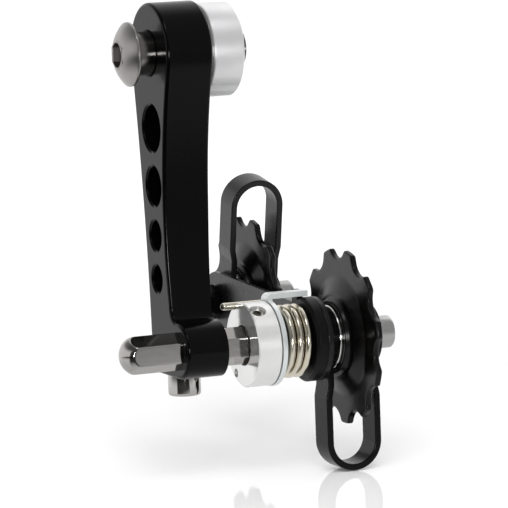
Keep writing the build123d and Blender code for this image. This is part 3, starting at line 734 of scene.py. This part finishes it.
def softened(node, name, width):
    """A copy of a CAD node with its triangles merged, flat faces joined and its edges bevelled."""
    mesh = nodes[node].data.copy()
    work = bmesh.new()
    work.from_mesh(mesh)
    bmesh.ops.remove_doubles(work, verts=work.verts, dist=MM / 2000)
    bmesh.ops.dissolve_limit(work, angle_limit=np.radians(1), verts=work.verts, edges=work.edges)
    work.to_mesh(mesh)
    work.free()
    if mesh.attributes.get("custom_normal"):
        mesh.attributes.remove(mesh.attributes["custom_normal"])
    mesh.polygons.foreach_set("use_smooth", np.ones(len(mesh.polygons), bool))
    mesh.set_sharp_from_angle(angle=CREASE)
    piece = bpy.data.objects.new(name, mesh)
    bpy.context.scene.collection.objects.link(piece)
    bevel = piece.modifiers.new("soft_edges", "BEVEL")
    bevel.width = width * MM
    bevel.segments = 3
    bevel.limit_method = "ANGLE"
    bevel.angle_limit = CREASE
    bevel.harden_normals = True
    print(name, len(mesh.polygons), "faces before the bevel")
    return piece


def draw_back(mesh, end_x, gap):
    """Moves the points of the end face at end_x back along X by the gap, in millimetres."""
    points = np.empty(len(mesh.vertices) * 3)
    mesh.vertices.foreach_get("co", points)
    points = points.reshape(-1, 3)
    points[:, 0] -= np.where(points[:, 0] > (end_x - 0.05) * MM, gap * MM, 0)
    mesh.vertices.foreach_set("co", points.ravel())


COLLAR_GAP = 0.5
bent_pieces = (
    ("front_loop", "bar", "black_steel", black_coat, 0.3),
    ("rear_loop", "cage", "black_steel", rear_coat, 0.3),
    ("cage_plate", "cage", "black_steel", rear_coat, 0.25),
    ("pivot_housing", "cage", "housing_black", housing_coat, 0.25),
    ("stop_washer", "bar", "zinc_steel", zinc, 0.15),
    ("spring_collar", "bar", "collar_steel", collar_cut, 0.12),
)
for node, body, slot, material, width in bent_pieces:
    piece = softened(node, f"{node}_bent", width)
    if node == "spring_collar":
        draw_back(piece.data, span(node)[1][0], COLLAR_GAP)
    dress(piece, body, slot, material, node)

# %% [markdown]
# ## Camera
# The picture was taken with a long lens from the front left, a little above. The three angles and the
# distance were found from edges whose real sizes are known.

# %% Camera
CAMERA_PLACE = np.array([-339.84, -808.88, 54.88]) * MM
AZIMUTH, ELEVATION, ROLL = np.radians([-23.1, 6.81, -2.05])
LENS, SENSOR = 259.25, 36.0
level_way = np.array([-np.sin(AZIMUTH), np.cos(AZIMUTH), 0])
forward = level_way * np.cos(ELEVATION) - np.array([0, 0, np.sin(ELEVATION)])
right = np.cross(forward, [0, 0, 1])
right /= np.linalg.norm(right)
up = np.cross(right, forward)
tilted_right = right * np.cos(ROLL) + up * np.sin(ROLL)
tilted_up = up * np.cos(ROLL) - right * np.sin(ROLL)
camera = bpy.data.objects.new("camera", bpy.data.cameras.new("camera"))
camera.data.lens = LENS
camera.data.sensor_width = SENSOR
camera.data.clip_start = 0.05
camera.data.clip_end = 50.0
turn = np.eye(4)
turn[:3, 0], turn[:3, 1], turn[:3, 2], turn[:3, 3] = tilted_right, tilted_up, -forward, CAMERA_PLACE
camera.matrix_world = Matrix(turn.tolist())
bpy.context.scene.collection.objects.link(camera)
bpy.context.scene.camera = camera
print("camera", np.linalg.norm(CAMERA_PLACE).round(3), "m from the bolt")

# %% [markdown]
# ## Floor
# The object stands on a white table inside a light tent. The table could be a box, but only its top is
# ever seen, so a wide flat sheet just below the lowest point is enough.

# %% Floor sheet
FLOOR_GAP = 0.2 * MM
FLOOR_Z = cad_box[0][2] - FLOOR_GAP
FLOOR_HALF, FLOOR_COUNT = 6.0, 40


def floor_points():
    """A flat sheet at the floor's height, a grid of x by y."""
    along = np.linspace(-FLOOR_HALF, FLOOR_HALF, FLOOR_COUNT)
    x, y = np.meshgrid(along, along)
    return np.stack([x, y, np.full_like(x, FLOOR_Z)], axis=-1)


points = floor_points()
number = np.arange(FLOOR_COUNT**2).reshape(FLOOR_COUNT, FLOOR_COUNT)
corners = [number[:-1, :-1], number[:-1, 1:], number[1:, 1:], number[1:, :-1]]
quads = np.stack(corners, axis=-1).reshape(-1, 4)
floor_mesh = bpy.data.meshes.new("floor")
floor_mesh.from_pydata(points.reshape(-1, 3).tolist(), [], quads.tolist())
floor = bpy.data.objects.new("floor", floor_mesh)
bpy.context.scene.collection.objects.link(floor)
print("floor at", round(FLOOR_Z / MM, 2), "mm")

# %% [markdown]
# ## What mirrors see
# Bright metal and black gloss show their surroundings, so a tent matters as much as a lamp. The picture is
# taken through a dark opening in it, and that opening gives the metal its dark bands. Light Path tells
# which rays come from a mirror and which from the camera, so both can be given what they would see.

# %% The tent's opening
SLIT_WAY = (-0.56, -0.83, 0.0)


def mirror_rays(tree):
    """Two values: 1 for a ray that left a glossy or clear surface, and 1 for a ray from the camera."""
    path = add_node(tree, "LightPath")
    sockets = {0: path.outputs["Is Glossy Ray"], 1: path.outputs["Is Transmission Ray"]}
    return add_node(tree, "Math", sockets, operation="MAXIMUM").outputs[0], path.outputs["Is Camera Ray"]


def slit(tree, direction):
    """A tent's dark opening, which the picture is taken through: 1 away from it and near 0 along it."""
    unit = add_node(tree, "VectorMath", {0: direction}, operation="NORMALIZE")
    facing = add_node(tree, "VectorMath", {0: unit.outputs["Vector"], 1: SLIT_WAY}, operation="DOT_PRODUCT")
    return ramp(tree, facing.outputs["Value"], 0.7, 0.8, 1.0, 0.05)


# %% [markdown]
# ## White table
# The table is lacquered: mostly matt white, with a thin gloss that mirrors the object's foot. Far away a
# little light of its own, for the camera alone, lifts it to the white of the background, and near the
# foot it keeps the soft shadow. In mirrors it fades to its front and left edges, where the tent ends.

# %% White table
GLOSS_SHARE = 0.28
FOOT = (0.025, 0.0, FLOOR_Z)
table, tree, shader = new_material("white_table")
shader.inputs["Base Color"].default_value = (0.8, 0.8, 0.8, 1)
shader.inputs["Roughness"].default_value = 1.0
shader.inputs["Specular IOR Level"].default_value = 0.0
shader.inputs["Emission Color"].default_value = (1, 1, 1, 1)
in_mirror, to_camera = mirror_rays(tree)
gloss = add_node(tree, "BsdfGlossy", {"Color": (1, 1, 1, 1), "Roughness": 0.05})
lacquer = add_node(
    tree, "MixShader", {0: GLOSS_SHARE, 1: shader.outputs["BSDF"], 2: gloss.outputs["BSDF"]})
place = add_node(tree, "TexCoord")
across = add_node(tree, "SeparateXYZ", {"Vector": place.outputs["Object"]})
front_edge = ramp(tree, across.outputs["Y"], -0.26, -0.1, 0.36, 1.0)
from_foot = add_node(tree, "VectorMath", {0: place.outputs["Object"]}, operation="DISTANCE")
from_foot.inputs[1].default_value = FOOT
# In mirrors the table darkens towards the foot: a painted shadow of the object.
shade = ramp(tree, from_foot.outputs["Value"], 0.05, 0.22, 0.7, 1.0)
lift = ramp(tree, from_foot.outputs["Value"], 0.14, 0.6, 0.05, 0.47)
tree.links.new(times(tree, to_camera, lift), shader.inputs["Emission Strength"])
left_edge = ramp(tree, across.outputs["X"], -0.34, -0.1, 0.1, 1.0)
behind = ramp(tree, across.outputs["Y"], 0.08, 0.22, 0.0, 1.0)
left_edge = add_node(tree, "Math", {0: left_edge, 1: behind}, operation="MAXIMUM").outputs[0]
edges = times(tree, front_edge, left_edge)
level = add_node(tree, "CombineXYZ", {"X": across.outputs["X"], "Y": across.outputs["Y"]})
away = ramp(tree, from_foot.outputs["Value"], 0.07, 0.13, 0.0, 1.0)
opening = add_node(tree, "Mix", {"Factor": away, "A": 1.0, "B": slit(tree, level.outputs["Vector"])})
mirrored = add_node(
    tree, "Emission", {"Strength": times(tree, times(tree, edges, shade), opening.outputs[0])})
floor_look = add_node(
    tree, "MixShader", {0: in_mirror, 1: lacquer.outputs["Shader"], 2: mirrored.outputs["Emission"]})
output = next(node for node in tree.nodes if node.type == "OUTPUT_MATERIAL")
tree.links.new(floor_look.outputs["Shader"], output.inputs["Surface"])
floor.data.materials.append(table)

# %% [markdown]
# ## The tent's walls and roof
# The world stands for the tent. Its plain level lights the object evenly. Mirrors see more: a bright left
# wall, a paler back wall, the dark opening, and a roof that is brighter to the back and the right.

# %% World
PLAIN_LEVEL = 0.75
world = bpy.data.worlds.new("tent")
bpy.context.scene.world = world
world.use_nodes = True
tree = world.node_tree
tree.nodes.clear()
output = tree.nodes.new("ShaderNodeOutputWorld")
direction = add_node(tree, "TexCoord")
parts = add_node(tree, "SeparateXYZ", {"Vector": direction.outputs["Generated"]})
left_wall = ramp(tree, parts.outputs["X"], -0.6, 0.0, 0.95, 0.0)
back_wall = ramp(tree, parts.outputs["Y"], 0.0, 0.6, 0.4, 1.0)
walls = add_node(tree, "Math", {0: left_wall, 1: back_wall}, operation="MAXIMUM")
walls = times(tree, walls.outputs[0], slit(tree, direction.outputs["Generated"]))
height = ramp(tree, parts.outputs["Z"], 0.3, 0.6, 0.0, 1.0)
roof_back = ramp(tree, parts.outputs["Y"], 0.0, 0.6, 0.4, 1.0)
roof_left = ramp(tree, parts.outputs["X"], -0.5, 0.1, 0.25, 1.0)
roof = times(tree, roof_back, roof_left)
tent = add_node(tree, "Mix", {"Factor": height, "A": walls, "B": roof}, data_type="FLOAT")
in_mirror, to_camera = mirror_rays(tree)
plain = add_node(tree, "Mix", {"Factor": to_camera, "A": PLAIN_LEVEL, "B": 1.0}, data_type="FLOAT")
level = add_node(
    tree, "Mix", {"Factor": in_mirror, "A": plain.outputs[0], "B": tent.outputs[0]}, data_type="FLOAT")
background = add_node(tree, "Background", {"Color": (1, 1, 1, 1), "Strength": level.outputs[0]})
tree.links.new(background.outputs["Background"], output.inputs["Surface"])

# %% [markdown]
# ## Lamps
# Four soft boxes: a small one above, a large key at the camera's side, a weak one from the right rear and a
# narrow strip low in front, whose glint runs along the bar. The key hangs where the tent's opening is, so
# it lights the object but isn't seen in mirrors, which show the opening there.

# %% Lamps
def softbox(name, place, target, size, watts, height=None):
    """An area lamp at a place, facing a target: square, or of another height where one is given."""
    lamp = bpy.data.lights.new(name, "AREA")
    lamp.shape = "RECTANGLE"
    lamp.size = size
    lamp.size_y = height or size
    lamp.energy = watts
    holder = bpy.data.objects.new(name, lamp)
    back = np.array(place) - np.array(target)
    back = back / np.linalg.norm(back)
    side = np.cross([0, 0, 1], back)
    side /= np.linalg.norm(side)
    pose = np.eye(4)
    pose[:3, 0], pose[:3, 1], pose[:3, 2], pose[:3, 3] = side, np.cross(back, side), back, place
    holder.matrix_world = Matrix(pose.tolist())
    bpy.context.scene.collection.objects.link(holder)
    return holder


CENTRE = (0.0, 0.0, -0.05)
softbox("top_softbox", (-0.08, -0.45, 0.85), CENTRE, 0.3, 1.1)
key = softbox("key_softbox", (-0.43, -0.81, 0.65), CENTRE, 0.7, 12)
key.visible_glossy = False
softbox("right_softbox", (0.75, 0.4, 0.6), CENTRE, 0.6, 1.1)
softbox("front_strip", (-0.24, -0.66, -0.02), CENTRE, 0.05, 1.4, height=0.13)
print("four lamps")

# %% [markdown]
# ## Colour view
# Colours are shown as they are written.

# %% Colour view
bpy.context.scene.view_settings.view_transform = "Standard"
